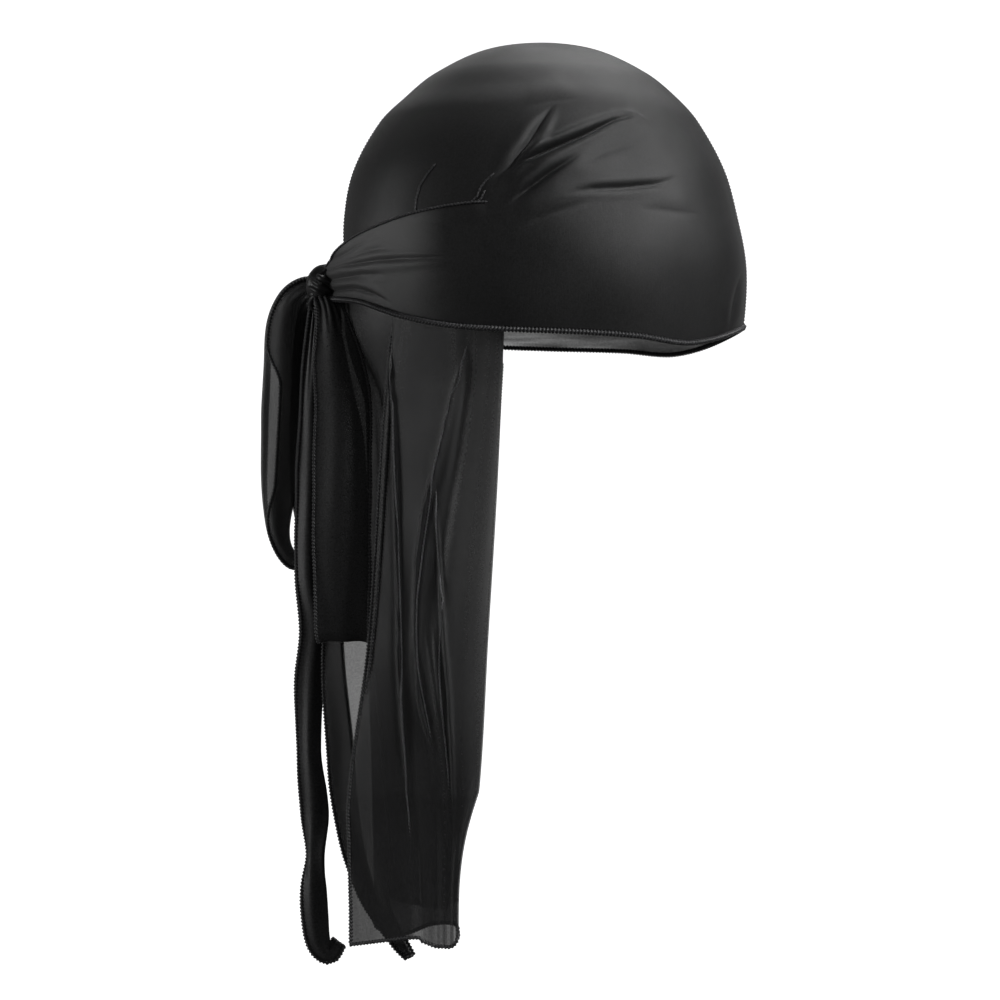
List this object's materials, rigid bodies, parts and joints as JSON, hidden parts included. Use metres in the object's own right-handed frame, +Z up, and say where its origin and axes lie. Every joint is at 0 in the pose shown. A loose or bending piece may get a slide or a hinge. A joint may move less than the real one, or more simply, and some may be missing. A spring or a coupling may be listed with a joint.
{
  "type": "durag",
  "caption": "Worn durag in thin silky knit: seamed crown, ties wrapped round the head to a bow at the back, and a long hanging cape.",
  "frame": {"origin": "middle of the head opening, in the plane of the crown's hem, where the cap sits on a head", "axes": "+X towards the forehead, +Y to the wearer's left, +Z up to the crown's top"},
  "size_m": [0.2391, 0.1598, 0.4486],
  "materials": {
    "crown_knit": "thin black silky knit, soft satin sheen",
    "tie_knit": "thin black silky knit, gathered, slightly sheer where single",
    "cape_knit": "thin black silky knit, single and double layers, slightly sheer"
  },
  "bodies": {
    "root": {"crown_right_panel": "crown_knit", "crown_left_panel": "crown_knit", "tie_wrap_right": "tie_knit", "tie_wrap_left": "tie_knit", "knot": "tie_knit", "bow_loop_outer": "tie_knit", "bow_loop_inner": "tie_knit", "tie_end_narrow": "tie_knit", "tie_end_wide": "tie_knit", "cape": "cape_knit"}
  },
  "joints": []
}
